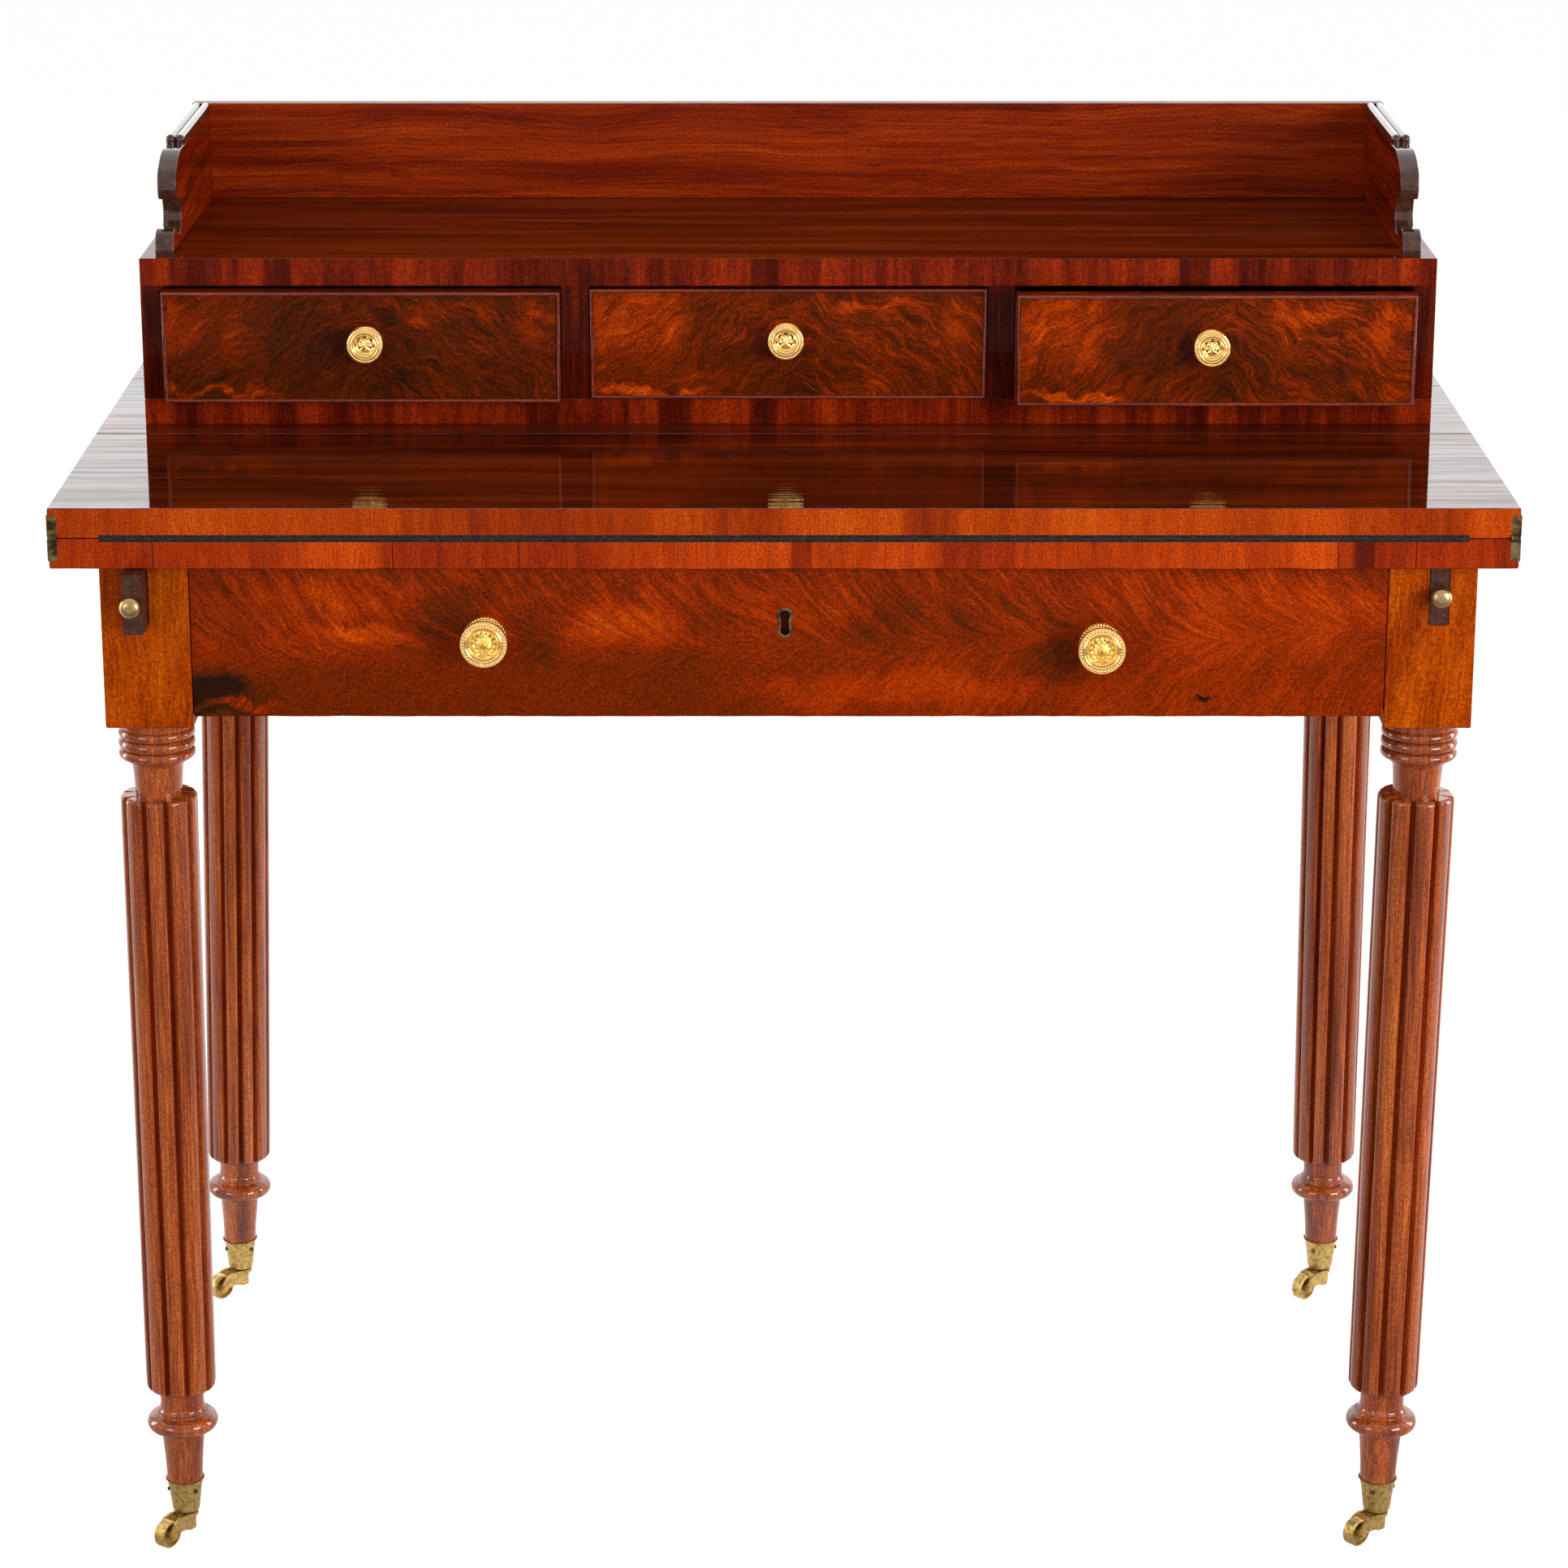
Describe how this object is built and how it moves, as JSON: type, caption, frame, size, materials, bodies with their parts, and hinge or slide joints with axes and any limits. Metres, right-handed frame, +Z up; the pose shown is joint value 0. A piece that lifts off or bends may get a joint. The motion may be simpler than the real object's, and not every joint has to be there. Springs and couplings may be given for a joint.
{
  "type": "writing desk",
  "caption": "Mahogany writing desk with reeded legs on casters, folding leaf on lopers, long frieze drawer and small drawers with a gallery.",
  "frame": {"origin": "middle of the desk's footprint, on the floor", "axes": "+X to the sitter's right, +Y to the back, +Z up"},
  "size_m": [0.9914, 0.558, 0.975],
  "materials": {
    "mahogany_top": "french polished mahogany, crossbanded edges",
    "mahogany_leg": "french polished solid mahogany",
    "mahogany_veneer": "french polished flame mahogany veneer",
    "mahogany_case": "french polished mahogany",
    "drawer_lining": "plain sanded oak",
    "baize": "black wool baize",
    "gilt_brass": "polished stamped brass",
    "aged_brass": "dull aged brass",
    "lock_iron": "dark iron"
  },
  "bodies": {
    "desk": {"leg_front_left": "mahogany_leg", "leg_front_right": "mahogany_leg", "leg_back_left": "mahogany_leg", "leg_back_right": "mahogany_leg", "side_rails": "mahogany_leg", "back_rail": "mahogany_leg", "front_bearer": "drawer_lining", "drawer_runners": "drawer_lining", "loper_guides": "drawer_lining", "top_bed": "mahogany_top", "rear_top": "mahogany_top", "bed_baize": "baize", "hinge_plates_lower": "aged_brass", "hinge_screws_lower": "aged_brass", "case_uprights": "mahogany_case", "case_bottom": "mahogany_case", "case_shelf": "mahogany_case", "case_back": "drawer_lining", "gallery_back": "mahogany_case", "gallery_sides": "mahogany_case", "gallery_mouldings": "mahogany_case", "caster_cups": "aged_brass", "caster_screws": "aged_brass"},
    "leaf": {"leaf": "mahogany_top", "leaf_baize": "baize", "hinge_plates_upper": "aged_brass", "hinge_screws_upper": "aged_brass"},
    "loper_left": {"loper_left": "mahogany_case", "loper_knob_left": "aged_brass"},
    "loper_right": {"loper_right": "mahogany_case", "loper_knob_right": "aged_brass"},
    "frieze_drawer": {"frieze_drawer_front": "mahogany_veneer", "frieze_drawer_sides": "drawer_lining", "frieze_drawer_back": "drawer_lining", "frieze_drawer_bottom": "drawer_lining", "frieze_knobs": "gilt_brass", "escutcheon": "aged_brass", "lock_case": "lock_iron"},
    "lock_bolt": {"lock_bolt": "aged_brass"},
    "small_drawer_left": {"small_drawer_front_left": "mahogany_veneer", "small_drawer_beads_left": "mahogany_case", "small_drawer_box_left": "drawer_lining", "small_drawer_knob_left": "gilt_brass"},
    "small_drawer_middle": {"small_drawer_front_middle": "mahogany_veneer", "small_drawer_beads_middle": "mahogany_case", "small_drawer_box_middle": "drawer_lining", "small_drawer_knob_middle": "gilt_brass"},
    "small_drawer_right": {"small_drawer_front_right": "mahogany_veneer", "small_drawer_beads_right": "mahogany_case", "small_drawer_box_right": "drawer_lining", "small_drawer_knob_right": "gilt_brass", "small_drawer_dividers": "drawer_lining"},
    "caster_fork_front_left": {"caster_fork_front_left": "aged_brass"},
    "caster_wheel_front_left": {"caster_wheel_front_left": "aged_brass"},
    "caster_fork_front_right": {"caster_fork_front_right": "aged_brass"},
    "caster_wheel_front_right": {"caster_wheel_front_right": "aged_brass"},
    "caster_fork_back_left": {"caster_fork_back_left": "aged_brass"},
    "caster_wheel_back_left": {"caster_wheel_back_left": "aged_brass"},
    "caster_fork_back_right": {"caster_fork_back_right": "aged_brass"},
    "caster_wheel_back_right": {"caster_wheel_back_right": "aged_brass"}
  },
  "joints": [
    {"name": "leaf_hinge", "type": "hinge", "parent": "desk", "child": "leaf", "pos_m": [0, -0.2492, 0.75915], "axis": [1, 0, 0], "range_deg": [0, 180]},
    {"name": "loper_left_slide", "type": "slide", "parent": "desk", "child": "loper_left", "axis": [0, -1, 0], "range_m": [-0.026, 0.2]},
    {"name": "loper_right_slide", "type": "slide", "parent": "desk", "child": "loper_right", "axis": [0, -1, 0], "range_m": [0, 0.226]},
    {"name": "frieze_drawer_slide", "type": "slide", "parent": "desk", "child": "frieze_drawer", "axis": [0, -1, 0], "range_m": [0, 0.36]},
    {"name": "lock_bolt_slide", "type": "slide", "parent": "frieze_drawer", "child": "lock_bolt", "axis": [0, 0, 1], "range_m": [0, 0.0075]},
    {"name": "small_drawer_left_slide", "type": "slide", "parent": "desk", "child": "small_drawer_left", "axis": [0, -1, 0], "range_m": [-0.014, 0.17]},
    {"name": "small_drawer_middle_slide", "type": "slide", "parent": "desk", "child": "small_drawer_middle", "axis": [0, -1, 0], "range_m": [-0.0015, 0.18]},
    {"name": "small_drawer_right_slide", "type": "slide", "parent": "desk", "child": "small_drawer_right", "axis": [0, -1, 0], "range_m": [-0.026, 0.16]},
    {"name": "caster_swivel_front_left", "type": "hinge", "parent": "desk", "child": "caster_fork_front_left", "pos_m": [-0.4353, -0.208, 0.021], "axis": [0, 0, 1], "continuous": true},
    {"name": "caster_roll_front_left", "type": "hinge", "parent": "caster_fork_front_left", "child": "caster_wheel_front_left", "pos_m": [-0.44735, -0.22459, 0.01], "axis": [0.809, -0.5878, 0], "continuous": true},
    {"name": "caster_swivel_front_right", "type": "hinge", "parent": "desk", "child": "caster_fork_front_right", "pos_m": [0.4315, -0.208, 0.021], "axis": [0, 0, 1], "continuous": true},
    {"name": "caster_roll_front_right", "type": "hinge", "parent": "caster_fork_front_right", "child": "caster_wheel_front_right", "pos_m": [0.4158, -0.22118, 0.01], "axis": [0.6428, -0.766, 0], "continuous": true},
    {"name": "caster_swivel_back_left", "type": "hinge", "parent": "desk", "child": "caster_fork_back_left", "pos_m": [-0.4465, 0.2385, 0.021], "axis": [0, 0, 1], "continuous": true},
    {"name": "caster_roll_back_left", "type": "hinge", "parent": "caster_fork_back_left", "child": "caster_wheel_back_left", "pos_m": [-0.46197, 0.22505, 0.01], "axis": [0.6561, -0.7547, 0], "continuous": true},
    {"name": "caster_swivel_back_right", "type": "hinge", "parent": "desk", "child": "caster_fork_back_right", "pos_m": [0.4405, 0.2385, 0.021], "axis": [0, 0, 1], "continuous": true},
    {"name": "caster_roll_back_right", "type": "hinge", "parent": "caster_fork_back_right", "child": "caster_wheel_back_right", "pos_m": [0.426, 0.224, 0.01], "axis": [0.7071, -0.7071, 0], "continuous": true}
  ]
}
